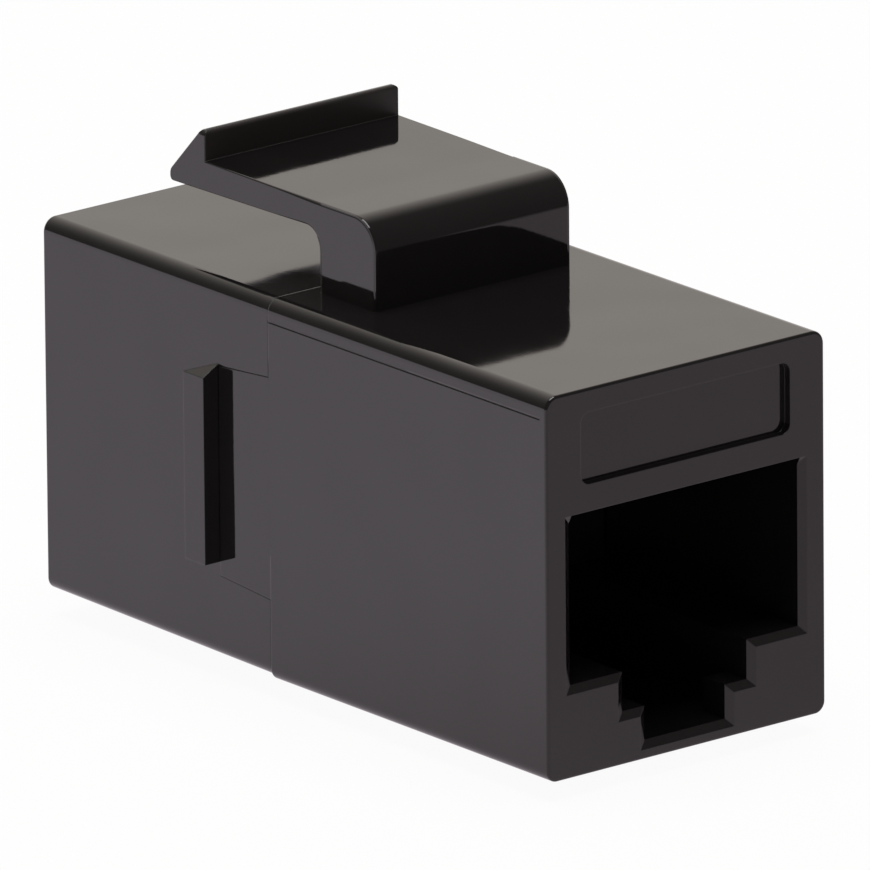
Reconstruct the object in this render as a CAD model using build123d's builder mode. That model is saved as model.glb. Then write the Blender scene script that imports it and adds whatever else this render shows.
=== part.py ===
from build123d import *

import os
from math import acos, atan2, degrees, radians, tan

# Keystone jack of the inline kind: two moulded shells with a plug port at each end, a spring latch on
# top, and a circuit board inside that joins the spring contacts of both ports.
#
# Millimetres. X runs across, +Y points out of the nose that goes into the panel, +Z is up. The origin is
# under the middle of the jack, at the level of its lowest point, the underside of the fixed lip.
# Heights that are named as heights are counted from the floor of the body shell.

# Plug ports: the main opening, then the two steps for the plug's own latch
port_width = 11.9
port_height = 7.17
port_depth = 12.4
ledge_height = 3.88
shoulder_width = 6.5
shoulder_floor = 2.2
tab_width = 4.2
tab_wall = 0.76
nose_tab_wall = 0.55
lead_in = 0.35
lead_in_depth = 0.18
latching_wall = 1.5

# Shells around the ports
wall = 1.3
roof = 2.77
floor_wall = 1.0
contact_headroom = 2.4
body_length = 17.81
top_edge_round = 0.6
bottom_edge_round = 0.5
face_round = 0.12
seam_round = 0.1
seam_gap = 0.04

# The nose shell stands in from the body shell at the seam, and tapers on towards its face
nose_side_step = 0.07
nose_floor_step = 0.11
nose_top_step = 0.03
nose_side_taper = 0.06
nose_floor_taper = 0.16

# Label field on the cable-side face, left bare
label_width = 10.9
label_height = 3.02
label_top_margin = 1.0
label_depth = 0.33
label_round = 0.45

# Shallow parting line along each side of the body shell
parting_drop = 0.95
parting_width = 0.09
parting_depth = 0.05
parting_margin = 0.4

# Latch on top of the body shell
latch_width = 10.1
leg_from_face = 13.48
leg_thickness = 3.57
arm_rise = 3.77
arm_tip_rise = 3.9
arm_thickness = 1.07
arm_tip_thickness = 1.36
outer_bend = 1.35
inner_bend = 0.95
knuckle_overhang = 0.25
knuckle_gap = 0.05
tooth_from_nose = 8.15
tooth_height = 1.24
tooth_ramp_angle = 42.5
arm_tip_from_nose = 5.82
tip_round = 0.25
tooth_root_round = 0.2

# Side tongues of the body shell, and the ribs of the nose shell where their notches end
tongue_reach = 3.27
tongue_low_margin = 3.43
tongue_top_margin = 3.35
tongue_low_narrowing = 0.24
tongue_top_narrowing = 0.29
tongue_gap = 0.02
rib_reach = 0.78
rib_land = 1.3
rib_length = 2.1
rib_low_margin = 4.25
rib_top_margin = 3.52
rib_end_drop = 1.02
rib_end_bulge = 0.1
rib_end_fall = 0.48

# Fixed lip under the nose
lip_drop = 0.8
lip_width = 9.0
lip_from_nose = 6.7
lip_length = 1.5
lip_chamfer = 0.5

# Contacts: flat strips, eight to a port
contact_count = 8
contact_pitch = 1.016
contact_width = 0.5
contact_thickness = 0.35
contact_run_rise = 1.8
contact_front = 5.2
contact_bend = 0.6
contact_angle = 25.0
contact_tip_reach = 0.6
pin_bend = 0.35
body_pin_drops = (1.7, 3.1)
nose_pin_drops = (6.1, 7.5)

# Contact blocks, and the circuit board between them
block_length = 3.3
block_gap = 0.08
shelf_margin = 0.75
shelf_from_bend = 0.7
shelf_tip_height = 1.1
shelf_clearance = 0.3
groove_gap = 0.06
riser_from_board = 0.45
comb_depth = 1.0
comb_margin = 0.4
board_thickness = 1.2
board_margin = 0.4
board_hole = 0.8

# Worked out from the sizes above
body_width = port_width + 2 * wall
port_top = ledge_height + port_height
body_height = port_top + contact_headroom + roof
block_depth = port_depth + block_length
total_length = 2 * block_depth + board_thickness
nose_length = total_length - body_length - seam_gap
y_face = -total_length / 2
y_nose = total_length / 2
y_seam = y_face + body_length
z_floor = lip_drop
z_top = z_floor + body_height
pocket_width = body_width - 2 * wall
pocket_low = z_floor + floor_wall
pocket_high = z_top - roof
nose_width = body_width - 2 * nose_side_step
nose_end_width = nose_width - 2 * nose_side_taper
nose_low = z_floor + nose_floor_step
nose_end_low = nose_low + nose_floor_taper
nose_high = z_top - nose_top_step
contact_row = (contact_count - 1) * contact_pitch
run_height = port_top + contact_run_rise
contact_turn = contact_front - contact_bend / tan(radians(contact_angle / 2))
tip_depth = port_depth + contact_tip_reach
tip_height = run_height - (tip_depth - contact_turn) * tan(radians(contact_angle))
slot_width = contact_width + 2 * groove_gap
block_top = z_floor + run_height + contact_thickness / 2 + groove_gap
shelf_width = contact_row + contact_width + 2 * shelf_margin
contact_numbers = range(1, contact_count + 1)


def face_plane(end, depth=0.0):
    """A plane parallel to an end face, at a depth inside it, with its own Y up and its normal pointing
    out of the jack. End is -1 for the cable side and 1 for the nose."""
    return Plane(origin=(0, end * (total_length / 2 - depth), 0), x_dir=(-end, 0, 0), z_dir=(0, end, 0))


def contact_x(number):
    """Place across the jack of a contact, numbered from 1 at the -X side."""
    return (number - 1) * contact_pitch - contact_row / 2


def draw_port(tab_floor, grow):
    """Draws the stepped opening of a port, grown at its sides and its steps as at the mouth of its
    lead-in. Its top stays."""
    for width, floor in ((port_width, ledge_height), (shoulder_width, shoulder_floor), (tab_width, tab_floor)):
        low = floor - grow
        with Locations((0, z_floor + (low + port_top) / 2)):
            Rectangle(width + 2 * grow, port_top - low)


def cut_port(end, tab_floor):
    """Cuts one plug port with its lead-in, the pocket where the plug's latch springs out behind the
    front wall, and the loft above the port for the contacts."""
    with BuildSketch(face_plane(end)) as opening:
        draw_port(tab_floor, 0)
    extrude(opening.sketch, amount=-port_depth, mode=Mode.SUBTRACT)
    with BuildSketch(face_plane(end)) as mouth:
        draw_port(tab_floor, lead_in)
    lead_in_slope = degrees(atan2(lead_in, lead_in_depth))
    extrude(mouth.sketch, amount=-lead_in_depth, taper=lead_in_slope, mode=Mode.SUBTRACT)
    with BuildSketch(face_plane(end, latching_wall)) as latch_pocket:
        with Locations((0, z_floor + (tab_floor + port_top) / 2)):
            Rectangle(shoulder_width, port_top - tab_floor)
    extrude(latch_pocket.sketch, amount=latching_wall - port_depth, mode=Mode.SUBTRACT)
    loft_depth = contact_front - contact_bend - contact_thickness - block_gap
    with BuildSketch(face_plane(end, loft_depth)) as contact_loft:
        with Locations((0, (z_floor + port_top + pocket_high) / 2)):
            Rectangle(shelf_width + 2 * block_gap, pocket_high - z_floor - port_top)
    extrude(contact_loft.sketch, amount=loft_depth - port_depth, mode=Mode.SUBTRACT)


def cut_pocket(end, shell_length):
    """Cuts the pocket behind a port, open at the seam, where the contact block and the board sit."""
    with BuildSketch(face_plane(end, port_depth)) as pocket:
        with Locations((0, (pocket_low + pocket_high) / 2)):
            Rectangle(pocket_width, pocket_high - pocket_low)
    extrude(pocket.sketch, amount=port_depth - shell_length, mode=Mode.SUBTRACT)


def draw_tongue(gap):
    """Draws a side tongue seen from the side, from the seam to its end, grown by a gap."""
    low = z_floor + tongue_low_margin - gap
    high = z_top - tongue_top_margin + gap
    end = y_seam + tongue_reach + gap
    with BuildLine() as outline:
        Polyline(
            (y_seam, low),
            (end, low + tongue_low_narrowing),
            (end, high - tongue_top_narrowing),
            (y_seam, high),
            close=True,
        )
    make_face(outline.line)


def round_corners(sketch):
    """Rounds the upper and the lower corners of a shell's outline."""
    fillet(sketch.vertices().group_by(Axis.Y)[-1], top_edge_round)
    fillet(sketch.vertices().group_by(Axis.Y)[0], bottom_edge_round)


# Latch profile, seen from the side. The arm's root is a round knuckle in a seat on top of the leg, and
# the inner bend runs from the leg across the knuckle to the underside of the arm.
leg_front = y_face + leg_from_face
leg_back = leg_front + leg_thickness
knuckle_y = leg_back + knuckle_overhang
arm_top = z_top + arm_rise
arm_under = arm_top - arm_thickness
bend_centre = (leg_back + inner_bend, arm_under - inner_bend)
knuckle_angle = degrees(acos((knuckle_overhang - inner_bend) / inner_bend))
knuckle_low = bend_centre[1] + (inner_bend**2 - (inner_bend - knuckle_overhang) ** 2) ** 0.5
knuckle_radius = (arm_top - knuckle_low) / 2
knuckle_z = arm_top - knuckle_radius
leg_root = z_top - roof / 2
tooth_face = y_nose - tooth_from_nose
tooth_foot = z_top + arm_tip_rise
tooth_top = tooth_foot + tooth_height
arm_tip = y_nose - arm_tip_from_nose
tip_top = tooth_top - (arm_tip - tooth_face) * tan(radians(tooth_ramp_angle))
tip_under = tooth_foot - arm_tip_thickness

# Cable-side shell with the label field, the latch's leg and the two side tongues
with BuildPart() as body_shell:
    with BuildSketch(face_plane(-1)) as body_outline:
        with Locations((0, z_floor + body_height / 2)):
            Rectangle(body_width, body_height)
        round_corners(body_outline)
    extrude(amount=-body_length)
    fillet(body_shell.faces().sort_by(Axis.Y)[0].edges(), face_round)
    fillet(body_shell.faces().sort_by(Axis.Y)[-1].edges(), seam_round)

    # Leg of the latch, rounded over towards the arm, with the seat for the arm's knuckle
    with BuildSketch(Plane.YZ):
        with BuildLine():
            leg_arc = CenterArc(bend_centre, inner_bend, 180, knuckle_angle - 180)
            leg_shoulder = CenterArc((leg_front + outer_bend, arm_top - outer_bend), outer_bend, 180, -90)
            Polyline(leg_arc @ 1, (knuckle_y, arm_top), leg_shoulder @ 1)
            Polyline(leg_shoulder @ 0, (leg_front, leg_root), (leg_back, leg_root), leg_arc @ 0)
        make_face()
        with Locations((knuckle_y, knuckle_z)):
            Circle(knuckle_radius + knuckle_gap, mode=Mode.SUBTRACT)
    extrude(amount=latch_width / 2, both=True)

    for side in (-1, 1):
        with BuildSketch(Plane.YZ.offset(side * pocket_width / 2)):
            draw_tongue(0)
        extrude(amount=side * (nose_width - pocket_width) / 2)

    with BuildSketch(face_plane(-1)):
        with Locations((0, z_top - label_top_margin - label_height / 2)):
            RectangleRounded(label_width, label_height, label_round)
    extrude(amount=-label_depth, mode=Mode.SUBTRACT)

    with BuildSketch(face_plane(-1, parting_margin)):
        with Locations(*[(side * body_width / 2, z_top - parting_drop) for side in (-1, 1)]):
            Rectangle(2 * parting_depth, parting_width)
    extrude(amount=parting_margin - body_length, mode=Mode.SUBTRACT)

    cut_port(-1, tab_wall)
    cut_pocket(-1, body_length)
body_shell.part.label = "body_shell"

# Rib on the -X side, made once and mirrored: its stop face looks back to the cable side, its land runs
# along the wall and ends in a ramp towards the nose, and its upper end falls away from the wall
rib_front = y_seam + tongue_reach + tongue_gap
rib_back = rib_front + rib_length
rib_root = nose_width / 2 - wall / 2
rib_outer = nose_width / 2 + rib_reach
rib_wall = (nose_width + nose_end_width) / 4
rib_high = z_top - rib_top_margin
with BuildPart() as side_rib:
    with BuildSketch(Plane.XY.offset(z_floor + rib_low_margin)):
        with BuildLine():
            Polyline(
                (-rib_root, rib_front),
                (-rib_outer, rib_front),
                (-rib_outer, rib_front + rib_land),
                (-rib_wall, rib_back),
                (-rib_root, rib_back),
                close=True,
            )
        make_face()
    extrude(amount=rib_high - z_floor - rib_low_margin)
    with BuildSketch(Plane.YZ.offset(-rib_wall)):
        with BuildLine():
            slope = SagittaArc((rib_front, rib_high), (rib_back, rib_high - rib_end_drop), rib_end_bulge)
            Polyline(
                slope @ 1,
                (rib_back, rib_high + rib_length),
                (rib_front - 2 * rib_length, rib_high + rib_length),
                (rib_front - 2 * rib_length, rib_high),
                slope @ 0,
            )
        make_face()
    extrude(amount=2 * rib_length, dir=Vector(rib_wall - rib_outer, rib_land, -rib_end_fall), mode=Mode.SUBTRACT)
side_rib.part.label = "side_rib"

# Panel-side shell with the ribs, the notches for the tongues and the fixed lip
with BuildPart() as nose_shell:
    with BuildSketch(face_plane(1, nose_length)) as seam_outline:
        with Locations((0, (nose_low + nose_high) / 2)):
            Rectangle(nose_width, nose_high - nose_low)
        round_corners(seam_outline)
    with BuildSketch(face_plane(1)) as end_outline:
        with Locations((0, (nose_end_low + nose_high) / 2)):
            Rectangle(nose_end_width, nose_high - nose_end_low)
        round_corners(end_outline)
    loft(ruled=True)
    fillet(nose_shell.faces().sort_by(Axis.Y)[-1].edges(), face_round)

    lip_root = nose_end_low + nose_tab_wall / 2
    lip_front = y_nose - lip_from_nose
    lip_back = lip_front - lip_length
    with BuildSketch(Plane.YZ):
        with BuildLine():
            Polyline(
                (lip_front, lip_root),
                (lip_front, lip_chamfer),
                (lip_front - lip_chamfer, z_floor - lip_drop),
                (lip_back, z_floor - lip_drop),
                (lip_back, lip_root),
                close=True,
            )
        make_face()
    extrude(amount=lip_width / 2, both=True)

    add(side_rib.part)
    add(mirror(side_rib.part, about=Plane.YZ, mode=Mode.PRIVATE))

    cut_port(1, nose_end_low - z_floor + nose_tab_wall)
    cut_pocket(1, nose_length)
    for side in (-1, 1):
        with BuildSketch(Plane.YZ.offset(side * pocket_width / 2)):
            draw_tongue(tongue_gap)
        extrude(amount=side * wall, mode=Mode.SUBTRACT)
nose_shell.part.label = "nose_shell"

# Latch arm with its round root and its tooth
with BuildPart() as latch_arm:
    with BuildSketch(Plane.YZ) as arm:
        with BuildLine():
            arm_arc = CenterArc(bend_centre, inner_bend, knuckle_angle, 90 - knuckle_angle)
            Polyline(
                arm_arc @ 1,
                (arm_tip, tip_under),
                (arm_tip, tip_top),
                (tooth_face, tooth_top),
                (tooth_face, tooth_foot),
                (knuckle_y, arm_top),
                arm_arc @ 0,
            )
        make_face()
        fillet(arm.vertices().group_by(Axis.X)[-1], tip_round)
        tooth_corners = arm.vertices().filter_by_position(Axis.X, tooth_face, tooth_face)
        fillet(tooth_corners.sort_by(Axis.Y)[0], tooth_root_round)
        with Locations((knuckle_y, knuckle_z)):
            Circle(knuckle_radius)
    extrude(amount=latch_width / 2, both=True)
latch_arm.part.label = "latch_arm"


def make_contact(end, number, pin_drops):
    """A contact: its pin in the board, its riser, its run forward over the shelf, and its spring that
    turns back down into the port. Neighbours use the two pin rows in turn."""
    pin_height = run_height - pin_drops[number % 2]
    riser = block_depth - riser_from_board
    path = (
        (block_depth + board_thickness - contact_thickness / 2, pin_height),
        (riser, pin_height),
        (riser, run_height),
        (contact_turn, run_height),
        (tip_depth, tip_height),
    )
    points = [(end * (total_length / 2 - depth), z_floor + height) for depth, height in path]
    with BuildPart() as contact:
        with BuildSketch(Plane.YZ.offset(contact_x(number) - contact_width / 2)):
            with BuildLine():
                FilletPolyline(*points, radius=(pin_bend, pin_bend, contact_bend))
                offset(amount=contact_thickness / 2)
            make_face()
        extrude(amount=contact_width)
    return contact.part


def make_block(end, pin_drops):
    """The contact block of a port: a wall that closes its back, and a shelf over it with grooves for
    the contacts, slots for their risers and a comb for their tips."""
    shelf_tip = contact_front + shelf_from_bend
    shelf_under = run_height - shelf_tip_height
    shelf_flat = contact_turn + (contact_run_rise + shelf_clearance) / tan(radians(contact_angle))
    riser_depth = block_depth - riser_from_board - contact_thickness / 2 - groove_gap
    groove_floor = z_floor + run_height - contact_thickness / 2
    with BuildPart() as block:
        with BuildSketch(face_plane(end, port_depth)):
            low = pocket_low + block_gap
            with Locations((0, (low + block_top) / 2)):
                Rectangle(pocket_width - 2 * block_gap, block_top - low)
        extrude(amount=-block_length)
        with BuildSketch(Plane.YZ):
            outline = (
                (port_depth, port_top),
                (shelf_flat, port_top),
                (shelf_tip, shelf_under),
                (shelf_tip, block_top - z_floor),
                (port_depth, block_top - z_floor),
            )
            with BuildLine():
                Polyline(
                    [(end * (total_length / 2 - depth), z_floor + height) for depth, height in outline],
                    close=True,
                )
            make_face()
        extrude(amount=shelf_width / 2, both=True)
        with BuildSketch(face_plane(end, shelf_tip)):
            with Locations((0, (groove_floor + block_top) / 2)):
                with GridLocations(contact_pitch, 0, contact_count, 1):
                    Rectangle(slot_width, block_top - groove_floor)
        extrude(amount=shelf_tip - block_depth, mode=Mode.SUBTRACT)
        with BuildSketch(face_plane(end, riser_depth)):
            for number in contact_numbers:
                low = z_floor + run_height - pin_drops[number % 2] - contact_thickness / 2 - groove_gap
                with Locations((-end * contact_x(number), (low + block_top) / 2)):
                    Rectangle(slot_width, block_top - low)
        extrude(amount=riser_depth - block_depth, mode=Mode.SUBTRACT)
        with BuildSketch(face_plane(end, port_depth)):
            low = z_floor + tip_height - comb_margin
            high = z_floor + port_top
            with Locations((0, (low + high) / 2)):
                with GridLocations(contact_pitch, 0, contact_count, 1):
                    Rectangle(slot_width, high - low)
        extrude(amount=-comb_depth, mode=Mode.SUBTRACT)
    return block.part


# Circuit board with a hole for each pin of both ports
with BuildPart() as circuit_board:
    with BuildSketch(face_plane(1, block_depth)) as board_outline:
        with Locations((0, (pocket_low + pocket_high) / 2)):
            Rectangle(pocket_width - 2 * board_margin, pocket_high - pocket_low - 2 * board_margin)
        for drops in (body_pin_drops, nose_pin_drops):
            for number in contact_numbers:
                with Locations((-contact_x(number), z_floor + run_height - drops[number % 2])):
                    Circle(board_hole / 2, mode=Mode.SUBTRACT)
    extrude(amount=-board_thickness)
circuit_board.part.label = "circuit_board"

pieces = [body_shell.part, nose_shell.part, latch_arm.part, circuit_board.part]
for end, name, drops in ((-1, "body", body_pin_drops), (1, "nose", nose_pin_drops)):
    block = make_block(end, drops)
    block.label = f"{name}_contact_block"
    pieces.append(block)
    for number in contact_numbers:
        contact = make_contact(end, number, drops)
        contact.label = f"{name}_contact_{number}"
        pieces.append(contact)

os.makedirs("parts", exist_ok=True)
for piece in pieces:
    export_step(piece, f"parts/{piece.label}.step")
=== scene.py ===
"""Looks of an inline keystone jack: its finishes, the latch, the studio and the camera.

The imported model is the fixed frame. Lengths in the classes are millimetres in the part's own axes,
and become metres where they reach Blender.
"""

import logging
import math
from dataclasses import dataclass
from enum import Enum
from typing import Any, Union

import bmesh
import bpy
from mathutils import Matrix, Vector

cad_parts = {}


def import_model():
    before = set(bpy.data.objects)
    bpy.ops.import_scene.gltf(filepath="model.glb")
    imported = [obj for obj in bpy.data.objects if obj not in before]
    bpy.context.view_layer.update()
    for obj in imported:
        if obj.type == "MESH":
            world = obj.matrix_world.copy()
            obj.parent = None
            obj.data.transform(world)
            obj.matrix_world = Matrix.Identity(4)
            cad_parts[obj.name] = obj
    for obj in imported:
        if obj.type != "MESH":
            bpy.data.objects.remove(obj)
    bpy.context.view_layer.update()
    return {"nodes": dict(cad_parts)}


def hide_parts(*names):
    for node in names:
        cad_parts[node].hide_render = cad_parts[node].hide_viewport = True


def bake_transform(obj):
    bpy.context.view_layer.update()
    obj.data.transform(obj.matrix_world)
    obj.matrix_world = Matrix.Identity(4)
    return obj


LOG = logging.getLogger("keystone_jack")
MM = 0.001

RUBBED_AND_SHEEN = "rubbed_and_sheen"  # the attribute that marks the rubbed faces, which are rougher and carry a painted paler sheen
MIX_COLOURS = (6, 7)  # a Mix node's inputs for its two colours
MIX_RESULT = 2  # and its output for the mixed one
NOISE_ROUGHNESS = 0.55
ROUNDED_SAMPLES = 6
WAVE_BANDS = 10.0  # a wave texture repeats every pi / 10 at a scale of 1
SHARP_ANGLE = 35.0  # degrees between two faces, past which their edge is crisp
SAME_PLACE = 1e-7  # metres between two points that a cut takes as one
SLIVER = 0.004  # millimetres, under which an edge is dissolved

Colour = tuple[float, float, float]
Point2 = tuple[float, float]
Point3 = tuple[float, float, float]
Span = tuple[float, float]
Value = Union[float, "Signal"]
Sockets = dict[Union[int, str], Any]


class Body(Enum):
    """The moving bodies of the jack."""

    HOUSING = "housing"
    LATCH = "latch"


class Slot(Enum):
    """The material slots of the part's record."""

    SHELL = "shell_plastic"
    BLOCK = "block_plastic"
    BOARD = "board_laminate"
    CONTACT = "contact_gold"


class Signal:
    """A number that varies over a surface, as the output of a shader node."""

    def __init__(self, graph: "Graph", socket: bpy.types.NodeSocket) -> None:
        """Wraps a node's output.

        Args:
            graph: The node tree that the output belongs to.
            socket: The output itself.
        """
        self.graph = graph
        self.socket = socket

    def _math(self, operation: str, first: Value, second: Value) -> "Signal":
        """Adds a Math node.

        Args:
            operation: The node's operation.
            first: Its first value.
            second: Its second value.

        Returns:
            The node's result.
        """
        node = self.graph.add("ShaderNodeMath", {"operation": operation}, {0: first, 1: second})
        return Signal(self.graph, node.outputs[0])

    def __add__(self, other: Value) -> "Signal":
        """Sum with another value."""
        return self._math("ADD", self, other)

    def __radd__(self, other: Value) -> "Signal":
        """Sum with a plain number on the left."""
        return self._math("ADD", other, self)

    def __mul__(self, other: Value) -> "Signal":
        """Product with another value."""
        return self._math("MULTIPLY", self, other)

    def __rmul__(self, other: Value) -> "Signal":
        """Product with a plain number on the left."""
        return self._math("MULTIPLY", other, self)

    def at_most(self, other: Value) -> "Signal":
        """The smaller of this value and another."""
        return self._math("MINIMUM", self, other)

    def between(self, low: float, high: float) -> "Signal":
        """A smooth step of this value.

        Args:
            low: Where the step starts, at 0.
            high: Where the step ends, at 1.

        Returns:
            The step, from 0 to 1.
        """
        settings = {"interpolation_type": "SMOOTHSTEP"}
        sockets = {"Value": self, "From Min": low, "From Max": high}
        node = self.graph.add("ShaderNodeMapRange", settings, sockets)
        return Signal(self.graph, node.outputs[0])


class Graph:
    """The node tree of a material or a world."""

    def __init__(self, tree: bpy.types.NodeTree) -> None:
        """Empties a node tree.

        Args:
            tree: The tree to fill.
        """
        self.tree = tree
        tree.nodes.clear()

    def add(self, kind: str, settings: dict[str, Any], sockets: Sockets) -> bpy.types.Node:
        """Adds a node.

        Args:
            kind: The node's type.
            settings: Its own settings.
            sockets: Values or links of its inputs, by name or by number.

        Returns:
            The new node.
        """
        node = self.tree.nodes.new(kind)
        for name, value in settings.items():
            setattr(node, name, value)
        for key, value in sockets.items():
            if isinstance(value, Signal):
                self.tree.links.new(value.socket, node.inputs[key])
            elif isinstance(value, bpy.types.NodeSocket):
                self.tree.links.new(value, node.inputs[key])
            else:
                node.inputs[key].default_value = value
        return node

    def places(self) -> bpy.types.NodeSocket:
        """The place on the piece, in metres in the part's axes."""
        return self.add("ShaderNodeTexCoord", {}, {}).outputs["Object"]

    def noise(self, feature: float, detail: float, stretch: Point3 = (1.0, 1.0, 1.0)) -> Signal:
        """Soft random mottling.

        Args:
            feature: The size of its patches, in millimetres.
            detail: How many finer layers it has.
            stretch: How much longer the patches are along each axis.

        Returns:
            A signal from 0 to 1.
        """
        scale = [1.0 / s for s in stretch]
        mapping = self.add("ShaderNodeMapping", {}, {"Vector": self.places(), "Scale": scale})
        sockets = {
            "Vector": mapping.outputs[0],
            "Scale": 1.0 / (feature * MM),
            "Detail": detail,
            "Roughness": NOISE_ROUGHNESS,
        }
        node = self.add("ShaderNodeTexNoise", {"noise_dimensions": "3D"}, sockets)
        return Signal(self, node.outputs[0])

    def blend(self, share: Value, first: Any, second: Any) -> bpy.types.NodeSocket:
        """Mixes two colours.

        Args:
            share: How much of the second one, from 0 to 1.
            first: A colour or a colour output.
            second: A colour or a colour output.

        Returns:
            The mixed colour.
        """
        colours = [(*c, 1.0) if isinstance(c, tuple) else c for c in (first, second)]
        sockets = {0: share, **dict(zip(MIX_COLOURS, colours))}
        return self.add("ShaderNodeMix", {"data_type": "RGBA"}, sockets).outputs[MIX_RESULT]

    def bump(self, height: Signal, depth: float, base: Any = None) -> bpy.types.NodeSocket:
        """Turns a height into a tilt of the surface.

        Args:
            height: The height, from 0 to 1.
            depth: What a height of 1 is, in millimetres.
            base: The normal that it starts from.

        Returns:
            The tilted normal.
        """
        sockets: Sockets = {"Height": height, "Distance": depth * MM, "Strength": 1.0}
        if base is not None:
            sockets["Normal"] = base
        return self.add("ShaderNodeBump", {}, sockets).outputs[0]

    def along(self, place: bpy.types.NodeSocket, direction: Point2) -> Signal:
        """How far a place lies along a level direction.

        Args:
            place: The place, as a vector output.
            direction: The direction's share of X and of Y.

        Returns:
            The distance, in the place's own unit.
        """
        parts = self.add("ShaderNodeSeparateXYZ", {}, {0: place})
        x, y = (Signal(self, parts.outputs[i]) for i in range(2))
        return x * direction[0] + y * direction[1]

    def rounded(self, radius: float) -> bpy.types.NodeSocket:
        """The normal of a surface whose crisp edges are broken, as every moulded edge is.

        Args:
            radius: The radius of the broken edge, in millimetres.

        Returns:
            The normal.
        """
        settings = {"samples": ROUNDED_SAMPLES}
        return self.add("ShaderNodeBevel", settings, {"Radius": radius * MM}).outputs[0]


def new_material(name: str) -> tuple[bpy.types.Material, Graph]:
    """Makes an empty material.

    Args:
        name: Its name.

    Returns:
        The material and its node tree.
    """
    material = bpy.data.materials.new(name)
    material.use_nodes = True
    return material, Graph(material.node_tree)


def finish_material(material: bpy.types.Material, graph: Graph, sockets: Sockets) -> None:
    """Ends a material in a Principled shader.

    Args:
        material: The material, which is named in the log.
        graph: Its node tree.
        sockets: Values or links of the shader's inputs.
    """
    shader = graph.add("ShaderNodeBsdfPrincipled", {}, sockets)
    graph.add("ShaderNodeOutputMaterial", {}, {"Surface": shader.outputs[0]})
    LOG.info("%s is ready", material.name)


@dataclass(frozen=True)
class MouldedPlastic:
    """Injection moulded plastic: a deep tint, a skin copied from the mould, and broken edges."""

    name: str
    tint: Colour
    pale_tint: Colour
    roughness: float
    roughness_spread: float
    rubbed_roughness: float = 0.0
    # painted sheen: a paler tint on the rubbed face that stands in for its sheen
    painted_sheen_tint: Colour = (0.0, 0.0, 0.0)
    refraction: float = 1.54
    flow_size: float = 4.0
    flow_stretch: Point3 = (1.0, 3.0, 1.0)
    flow_span: Span = (0.35, 0.7)
    wear_size: float = 1.1
    wear_stretch: Point3 = (1.0, 2.2, 1.0)
    wear_span: Span = (0.3, 0.75)
    wear_share: float = 0.6
    skin_size: float = 0.16
    skin_share: float = 0.4
    skin_depth: float = 0.0004
    sink_size: float = 3.4
    sink_depth: float = 0.022
    edge_radius: float = 0.04

    def build(self) -> bpy.types.Material:
        """Makes the material.

        Returns:
            The material.
        """
        material, graph = new_material(self.name)
        flow = graph.noise(self.flow_size, detail=2.0, stretch=self.flow_stretch)
        skin = graph.noise(self.skin_size, detail=2.0)
        sink = graph.noise(self.sink_size, detail=0.0)
        wear = graph.noise(self.wear_size, detail=4.0, stretch=self.wear_stretch)
        uneven = wear.between(*self.wear_span) * self.wear_share + skin * self.skin_share
        roughness = self.roughness + self.roughness_spread * uneven
        marks = graph.add("ShaderNodeAttribute", {"attribute_name": RUBBED_AND_SHEEN}, {})
        rubbed_and_sheen = Signal(graph, marks.outputs["Fac"])
        normal = graph.bump(sink, self.sink_depth, graph.rounded(self.edge_radius))
        tint = graph.blend(flow.between(*self.flow_span), self.tint, self.pale_tint)
        sockets = {
            # the rubbed mark adds roughness and blends in a paler tint, which is a painted sheen
            "Base Color": graph.blend(rubbed_and_sheen, tint, self.painted_sheen_tint),
            "Roughness": roughness + rubbed_and_sheen * self.rubbed_roughness,
            "IOR": self.refraction,
            "Normal": graph.bump(skin, self.skin_depth, normal),
        }
        finish_material(material, graph, sockets)
        return material


@dataclass(frozen=True)
class GoldPlate:
    """Thin gold over drawn spring bronze, with fine draw lines along the strip."""

    name: str
    gold: Colour
    pale_gold: Colour
    roughness: float = 0.22
    line_size: float = 0.035
    line_stretch: Point3 = (1.0, 30.0, 12.0)
    line_roughness: float = 0.06
    line_depth: float = 0.0012
    cloud_size: float = 0.9
    cloud_span: Span = (0.3, 0.75)
    cloud_roughness: float = 0.1
    edge_radius: float = 0.05

    def build(self) -> bpy.types.Material:
        """Makes the material.

        Returns:
            The material.
        """
        material, graph = new_material(self.name)
        lines = graph.noise(self.line_size, detail=2.0, stretch=self.line_stretch)
        cloud = graph.noise(self.cloud_size, detail=3.0)
        uneven = self.cloud_roughness * cloud + self.line_roughness * lines
        sockets = {
            "Base Color": graph.blend(cloud.between(*self.cloud_span), self.gold, self.pale_gold),
            "Metallic": 1.0,
            "Roughness": self.roughness + uneven,
            "Normal": graph.bump(lines, self.line_depth, graph.rounded(self.edge_radius)),
        }
        finish_material(material, graph, sockets)
        return material


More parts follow.
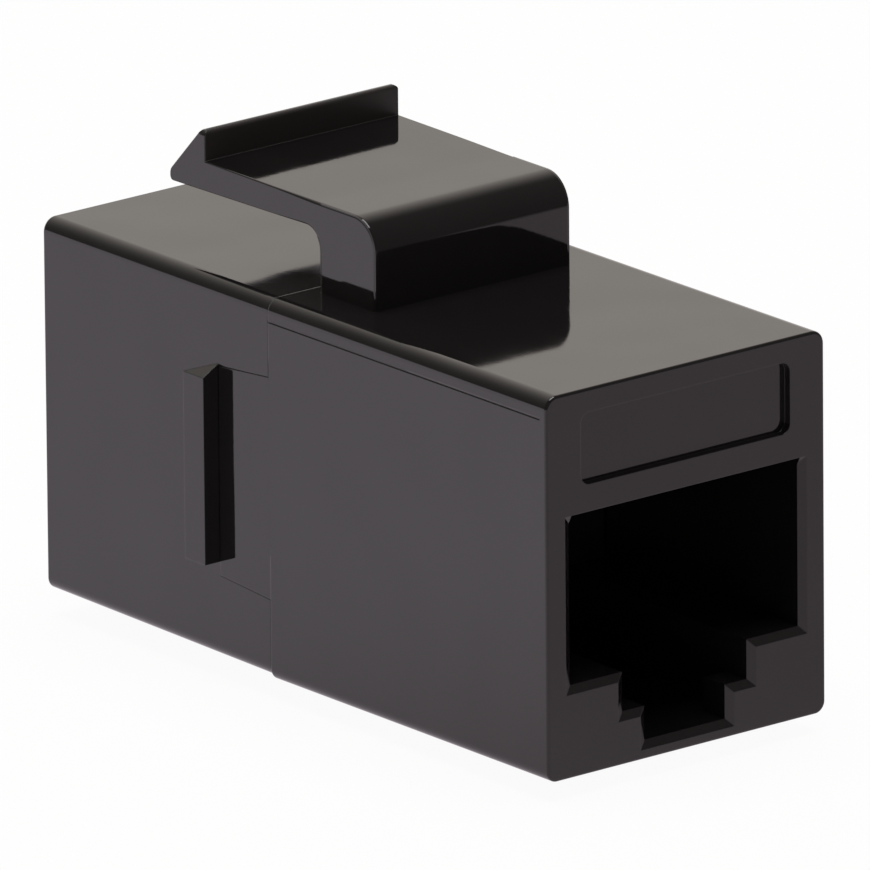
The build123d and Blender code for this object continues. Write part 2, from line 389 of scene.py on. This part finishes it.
@dataclass(frozen=True)
class SolderMask:
    """Green lacquer over a woven glass laminate."""

    name: str
    lacquer: Colour
    thin_lacquer: Colour
    weave: float = 0.45
    weave_depth: float = 0.006
    cloud_size: float = 1.6
    roughness: float = 0.3
    cloud_roughness: float = 0.12
    edge_radius: float = 0.05

    def build(self) -> bpy.types.Material:
        """Makes the material.

        Returns:
            The material.
        """
        material, graph = new_material(self.name)
        scale = math.pi / (self.weave * MM) / WAVE_BANDS
        threads = {"Vector": graph.places(), "Scale": scale, "Distortion": 0.0}
        warp = graph.add("ShaderNodeTexWave", {"bands_direction": "X"}, threads)
        weft = graph.add("ShaderNodeTexWave", {"bands_direction": "Z"}, threads)
        cloth = Signal(graph, warp.outputs[1]) * 0.5 + Signal(graph, weft.outputs[1]) * 0.5
        cloud = graph.noise(self.cloud_size, detail=3.0)
        sockets = {
            "Base Color": graph.blend(cloth * 0.5 + cloud * 0.5, self.lacquer, self.thin_lacquer),
            "Roughness": self.roughness + self.cloud_roughness * cloud,
            "Normal": graph.bump(cloth, self.weave_depth, graph.rounded(self.edge_radius)),
        }
        finish_material(material, graph, sockets)
        return material


def apply_modifiers(piece: bpy.types.Object) -> None:
    """Puts what a piece's modifiers make of its mesh in the place of the mesh.

    Args:
        piece: The piece.
    """
    evaluated = piece.evaluated_get(bpy.context.evaluated_depsgraph_get())
    shaped = bpy.data.meshes.new_from_object(evaluated)
    piece.modifiers.clear()
    piece.data = shaped


@dataclass(frozen=True)
class Corner:
    """A corner of the latch's profile and its round, in the plane of the jack's length and height."""

    y: float
    z: float
    radius: float = 0.0
    steps: int = 6


@dataclass
class SnapLatch:
    """The latch, moulded in one: the leg on the shell, the arm that springs on it, and the tooth.

    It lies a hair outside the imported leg, so that only this piece shows, and it replaces the
    packed arm.
    """

    width: float = 10.14
    foot: float = 16.5
    leg_front: float = -2.84
    leg_back: float = 0.77
    arm_top: float = 20.81
    arm_under: float = 19.71
    root_y: float = 1.0
    root_z: float = 20.1011
    outer_bend: float = 1.37
    inner_bend: float = 0.93
    tooth_y: float = 8.15
    tooth_foot: float = 20.86
    tooth_top: float = 22.17
    tip_y: float = 10.48
    tip_top: float = 20.025
    tip_under: float = 19.56
    crest_radius: float = 0.19
    tip_radius: float = 0.42
    tip_under_radius: float = 0.2
    root_radius: float = 0.03
    leg_rim: float = 0.14
    arm_rim: float = 0.06
    rim_steps: int = 4
    crest_corner: float = 0.3
    crest_cuts: int = 6
    run_step: float = 0.3
    bend_steps: int = 16
    # faces turned further to the front than this get the extra roughness and the painted sheen
    rubbed_sheen_turn: float = -0.5
    flex_length: float = 2.4

    def crest(self) -> Corner:
        """Finds the tooth's crest, so that the top of its round is the tooth's top.

        Returns:
            The sharp corner and its round.
        """
        rise = self.tooth_top - self.crest_radius - self.tip_top
        run = self.tip_y - self.tooth_y - self.crest_radius
        slope = math.atan2(rise, run) + math.asin(self.crest_radius / math.hypot(rise, run))
        top = self.tip_top + (self.tip_y - self.tooth_y) * math.tan(slope)
        return Corner(self.tooth_y, top, self.crest_radius)

    def corners(self) -> list[Corner]:
        """Lists the profile's corners.

        Returns:
            The corners, anticlockwise from the front of the leg's foot.
        """
        return [
            Corner(self.leg_front, self.foot),
            Corner(self.leg_back, self.foot),
            Corner(self.leg_back, self.arm_under, self.inner_bend, self.bend_steps),
            Corner(self.tip_y, self.tip_under, self.tip_under_radius),
            Corner(self.tip_y, self.tip_top, self.tip_radius),
            self.crest(),
            Corner(self.tooth_y, self.tooth_foot, self.root_radius),
            Corner(self.root_y, self.arm_top),
            Corner(self.leg_front, self.arm_top, self.outer_bend, self.bend_steps),
        ]

    def _round(self, before: Corner, corner: Corner, after: Corner) -> list[Vector]:
        """Rounds a corner.

        Args:
            before: The corner before it.
            corner: The corner itself.
            after: The corner after it.

        Returns:
            The points of its arc.
        """
        a, b, c = (Vector((k.y, k.z)) for k in (before, corner, after))
        into, out = (a - b).normalized(), (c - b).normalized()
        half = into.angle(out) / 2
        centre = b + (into + out).normalized() * (corner.radius / math.sin(half))
        reach = corner.radius / math.tan(half)
        first, last = b + into * reach - centre, b + out * reach - centre
        turn = first.angle_signed(last)
        steps = range(corner.steps + 1)
        return [centre + Matrix.Rotation(-turn * i / corner.steps, 2) @ first for i in steps]

    def profile(self) -> list[Vector]:
        """Draws the outline with its rounds.

        Returns:
            Its points, whose x and y are the part's Y and Z. Along the straight runs they lie
            close enough together for the arm to bend.
        """
        corners = self.corners()
        turned: list[Vector] = []
        for i, corner in enumerate(corners):
            if corner.radius > 0.0:
                turned += self._round(corners[i - 1], corner, corners[(i + 1) % len(corners)])
            else:
                turned.append(Vector((corner.y, corner.z)))
        outline: list[Vector] = []
        for start, end in zip(turned, [*turned[1:], turned[0]]):
            pieces = max(1, math.floor((end - start).length / self.run_step))
            outline += [start.lerp(end, i / pieces) for i in range(pieces)]
        return outline

    def rim(self, place: Vector) -> float:
        """The radius of the broken side edge.

        Args:
            place: A point of the profile, whose x and y are the part's Y and Z.

        Returns:
            The radius, which is less on the arm than on the leg.
        """
        share = min(max((place.x - self.root_y) / self.flex_length, 0.0), 1.0)
        return self.leg_rim + (self.arm_rim - self.leg_rim) * share

    def blank(self) -> bpy.types.Mesh:
        """Makes the latch with crisp edges, each marked with its share of the bevel's width.

        Returns:
            The mesh.
        """
        outline = self.profile()
        mesh = bmesh.new()
        marks = mesh.edges.layers.float.new("bevel_weight_edge")
        sides = []
        for x in (-self.width / 2, self.width / 2):
            places = [(x * MM, place.x * MM, place.y * MM) for place in outline]
            sides.append([mesh.verts.new(place) for place in places])
        left, right = sides
        for i in range(len(outline)):
            j = (i + 1) % len(outline)
            mesh.faces.new((left[i], left[j], right[j], right[i]))
        mesh.faces.new(list(reversed(left)))
        mesh.faces.new(right)
        bmesh.ops.recalc_face_normals(mesh, faces=mesh.faces)
        for edge in mesh.edges:
            if edge.calc_face_angle(0.0) > math.radians(SHARP_ANGLE):
                middle = (edge.verts[0].co + edge.verts[1].co) / (2 * MM)
                edge[marks] = self.rim(Vector((middle.y, middle.z))) / self.leg_rim
        data = bpy.data.meshes.new("latch")
        mesh.to_mesh(data)
        mesh.free()
        return data

    def round_crest(self, shape: bpy.types.Mesh) -> None:
        """Rounds both ends of the tooth's crest, by cuts that each take off a little of the corner.

        Args:
            shape: The latch with square ends of the crest.
        """
        mesh = bmesh.new()
        mesh.from_mesh(shape)
        for side in (-1.0, 1.0):
            centre_x = side * (self.width / 2 - self.crest_corner)
            centre = Vector((centre_x, 0.0, self.tooth_top - self.crest_corner))
            for i in range(self.crest_cuts):
                turn = math.radians(90.0) * (i + 0.5) / self.crest_cuts
                out = Vector((side * math.cos(turn), 0.0, math.sin(turn)))
                cut = bmesh.ops.bisect_plane(
                    mesh,
                    geom=[*mesh.verts, *mesh.edges, *mesh.faces],
                    dist=SAME_PLACE,
                    plane_co=(centre + out * self.crest_corner) * MM,
                    plane_no=out,
                    clear_outer=True,
                )
                edges = [item for item in cut["geom_cut"] if isinstance(item, bmesh.types.BMEdge)]
                bmesh.ops.edgeloop_fill(mesh, edges=edges)
        bmesh.ops.dissolve_degenerate(mesh, edges=mesh.edges, dist=SLIVER * MM)
        bmesh.ops.recalc_face_normals(mesh, faces=mesh.faces)
        for face in mesh.faces:
            face.smooth = True
        for edge in mesh.edges:
            edge.smooth = edge.calc_face_angle(0.0) < math.radians(SHARP_ANGLE)
        mesh.to_mesh(shape)
        mesh.free()

    def mark_rub_and_sheen(self, mesh: bpy.types.Mesh) -> None:
        """Marks the tooth's front face, which rubs on the panel's bar; the mark makes it rougher and
        paints a paler sheen on it.

        Args:
            mesh: The latch's mesh.
        """
        marks = mesh.attributes.new(RUBBED_AND_SHEEN, "FLOAT", "FACE")
        for face in mesh.polygons:
            front = face.center.z > self.tooth_foot * MM and face.normal.y < self.rubbed_sheen_turn
            marks.data[face.index].value = float(front)

    def build(self) -> bpy.types.Object:
        """Builds the latch, breaks its edges and rounds its crest.

        Returns:
            The piece.
        """
        piece = bpy.data.objects.new("snap_latch", self.blank())
        bpy.context.scene.collection.objects.link(piece)
        bevel = piece.modifiers.new("broken_edges", "BEVEL")
        bevel.limit_method = "WEIGHT"
        bevel.width = self.leg_rim * MM
        bevel.segments = self.rim_steps
        bevel.use_clamp_overlap = False
        apply_modifiers(piece)
        self.round_crest(piece.data)
        piece.modifiers.new("flat_faces", "WEIGHTED_NORMAL").keep_sharp = True
        apply_modifiers(piece)
        self.mark_rub_and_sheen(piece.data)
        return piece

    def dress(self, piece: bpy.types.Object, finish: bpy.types.Material) -> None:
        """Gives the latch its finish, hides the packed arm and bakes its placement into its mesh.

        Args:
            piece: The latch.
            finish: Its material.
        """
        piece.data.materials.clear()
        piece.data.materials.append(finish)
        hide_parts("latch_arm")
        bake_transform(piece)


@dataclass
class Housing:
    """The two shells, the contact blocks, the circuit board and the contacts, as packed."""

    nodes: dict[str, bpy.types.Object]
    contact_count: int = 8

    def members(self) -> dict[str, Slot]:
        """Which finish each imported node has.

        Returns:
            The slot of each node's name.
        """
        found = {
            "body_shell": Slot.SHELL,
            "nose_shell": Slot.SHELL,
            "latch_arm": Slot.SHELL,
            "body_contact_block": Slot.BLOCK,
            "nose_contact_block": Slot.BLOCK,
            "circuit_board": Slot.BOARD,
        }
        for end in ("body", "nose"):
            for number in range(1, self.contact_count + 1):
                found[f"{end}_contact_{number}"] = Slot.CONTACT
        return found

    def dress(self, finishes: dict[Slot, bpy.types.Material]) -> None:
        """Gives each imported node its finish.

        Args:
            finishes: The material of each slot.
        """
        for name, slot in self.members().items():
            node = self.nodes[name]
            node.data.materials.clear()
            node.data.materials.append(finishes[slot])
            LOG.info("%s is finished in %s", name, slot.value)


@dataclass
class Studio:
    """A white table in a light tent: a bright back, a dimmer front, and a soft lamp overhead."""

    table_reach: float = 1500.0
    table_drop: float = 0.02
    table_albedo: float = 0.93
    table_glow: float = 0.95
    far_glow: Colour = (1.04, 0.95, 1.03)
    near_glow: Colour = (0.64, 0.56, 0.60)
    back_wall: Colour = (0.925, 0.865, 0.80)
    front_wall: Colour = (0.155, 0.14, 0.135)
    away_direction: Point2 = (0.5, 0.866)
    wall_span: Span = (0.25, 0.85)
    across_direction: Point2 = (-0.63, 0.78)
    middle_span: Span = (-30.0, 30.0)
    near_span: Span = (-140.0, -75.0)
    lamp_size: float = 600.0
    lamp_height: float = 900.0
    lamp_power: float = 5.7

    def paper(self) -> bpy.types.Material:
        """Makes the table's material.

        To the camera it is nearly as white as its glow and keeps the shadow. In mirror images it
        fades from a bright far half to a dimmer near one, and then into the tent's front.

        Returns:
            The material.
        """
        material, graph = new_material("white_table")
        rays = graph.add("ShaderNodeLightPath", {}, {})
        camera = Signal(graph, rays.outputs["Is Camera Ray"])
        glossy = Signal(graph, rays.outputs["Is Glossy Ray"])
        through = Signal(graph, rays.outputs["Is Transmission Ray"])
        across = graph.along(graph.places(), self.across_direction)
        middle, near = ([place * MM for place in span] for span in (self.middle_span, self.near_span))
        glow = graph.blend(across.between(*middle), self.near_glow, self.far_glow)
        glow = graph.blend(across.between(*near), self.front_wall, glow)
        white = graph.blend(glossy, (1.0, 1.0, 1.0), glow)
        albedo = (self.table_albedo,) * 3 + (1.0,)
        dull = graph.add("ShaderNodeBsdfDiffuse", {}, {"Color": albedo, "Roughness": 0.0})
        light = graph.add("ShaderNodeEmission", {}, {"Color": white, "Strength": 1.0})
        share = (camera * self.table_glow + glossy + through).at_most(1.0)
        sockets = {0: share, 1: dull.outputs[0], 2: light.outputs[0]}
        mixed = graph.add("ShaderNodeMixShader", {}, sockets)
        graph.add("ShaderNodeOutputMaterial", {}, {"Surface": mixed.outputs[0]})
        return material

    def table(self) -> None:
        """Lays the table under the jack."""
        reach, top = self.table_reach * MM, -self.table_drop * MM
        corners = [(x * reach, y * reach, top) for x, y in ((-1, -1), (1, -1), (1, 1), (-1, 1))]
        data = bpy.data.meshes.new("table")
        data.from_pydata(corners, [], [(0, 1, 2, 3)])
        data.materials.append(self.paper())
        table = bpy.data.objects.new("table", data)
        bpy.context.scene.collection.objects.link(table)

    def tent(self) -> None:
        """Lights the world: bright behind the jack, dim in front of it and above."""
        world = bpy.data.worlds.new("light_tent")
        world.use_nodes = True
        bpy.context.scene.world = world
        graph = Graph(world.node_tree)
        direction = graph.add("ShaderNodeTexCoord", {}, {}).outputs["Generated"]
        away = graph.along(direction, self.away_direction)
        tent = graph.blend(away.between(*self.wall_span), self.front_wall, self.back_wall)
        light = graph.add("ShaderNodeBackground", {}, {"Color": tent, "Strength": 1.0})
        graph.add("ShaderNodeOutputWorld", {}, {"Surface": light.outputs[0]})

    def lamp(self) -> None:
        """Hangs the soft lamp."""
        light = bpy.data.lights.new("soft_lamp", "AREA")
        light.shape = "SQUARE"
        light.size = self.lamp_size * MM
        light.energy = self.lamp_power
        holder = bpy.data.objects.new("soft_lamp", light)
        holder.location = (0.0, 0.0, self.lamp_height * MM)
        bpy.context.scene.collection.objects.link(holder)

    def build(self) -> None:
        """Sets up the whole studio and the view transform."""
        self.table()
        self.tent()
        self.lamp()
        bpy.context.scene.view_settings.view_transform = "Standard"


@dataclass
class ViewCamera:
    """The camera at the photograph's viewing angle, a long lens a metre away."""

    azimuth: float = -38.9456
    elevation: float = 17.4658
    roll: float = -0.4955
    distance: float = 1071.22
    target: Point3 = (-3.2163, -4.2653, 11.8048)
    lens: float = 1096.55
    sensor: float = 36.0
    clip: Span = (10.0, 50000.0)

    def build(self) -> None:
        """Places the camera and makes it the scene's camera."""
        az, el, roll = (math.radians(v) for v in (self.azimuth, self.elevation, self.roll))
        back = Vector((math.sin(az) * math.cos(el), -math.cos(az) * math.cos(el), math.sin(el)))
        level = Vector((math.cos(az), math.sin(az), 0.0))
        upright = back.cross(level)
        right = level * math.cos(roll) + upright * math.sin(roll)
        top = upright * math.cos(roll) - level * math.sin(roll)
        data = bpy.data.cameras.new("view_camera")
        data.lens = self.lens
        data.sensor_width = self.sensor
        data.dof.use_dof = False
        data.clip_start, data.clip_end = (c * MM for c in self.clip)
        camera = bpy.data.objects.new("view_camera", data)
        place = (Vector(self.target) + back * self.distance) * MM
        turned = Matrix((right, top, back)).transposed().to_4x4()
        camera.matrix_world = Matrix.Translation(place) @ turned
        bpy.context.scene.collection.objects.link(camera)
        bpy.context.scene.camera = camera


def make_finishes() -> dict[Slot, bpy.types.Material]:
    """Makes the jack's four finishes.

    Returns:
        The material of each slot.
    """
    return {
        Slot.SHELL: MouldedPlastic(
            name="gloss_black_shell",
            tint=(0.0076, 0.0066, 0.0068),
            pale_tint=(0.0092, 0.0080, 0.0082),
            roughness=0.03,
            roughness_spread=0.05,
            rubbed_roughness=0.42,
            # painted sheen: a paler tint on the tooth's rubbed front face
            painted_sheen_tint=(0.018, 0.0145, 0.0135),
        ).build(),
        Slot.BLOCK: MouldedPlastic(
            name="satin_black_block",
            tint=(0.006, 0.006, 0.006),
            pale_tint=(0.010, 0.010, 0.010),
            roughness=0.34,
            roughness_spread=0.16,
            skin_size=0.09,
            skin_depth=0.002,
        ).build(),
        Slot.BOARD: SolderMask(
            name="green_solder_mask",
            lacquer=(0.010, 0.105, 0.032),
            thin_lacquer=(0.022, 0.17, 0.055),
        ).build(),
        Slot.CONTACT: GoldPlate(
            name="gold_plated_bronze",
            gold=(0.83, 0.58, 0.22),
            pale_gold=(0.93, 0.70, 0.34),
        ).build(),
    }


def main() -> None:
    """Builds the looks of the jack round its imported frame."""
    logging.basicConfig(level=logging.INFO, format="%(name)s: %(message)s")
    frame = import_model()
    finishes = make_finishes()
    Housing(frame["nodes"]).dress(finishes)
    latch = SnapLatch()
    piece = latch.build()
    latch.dress(piece, finishes[Slot.SHELL])
    LOG.info("%s has %d faces", piece.name, len(piece.data.polygons))
    Studio().build()
    ViewCamera().build()


if __name__ == "__main__":
    main()
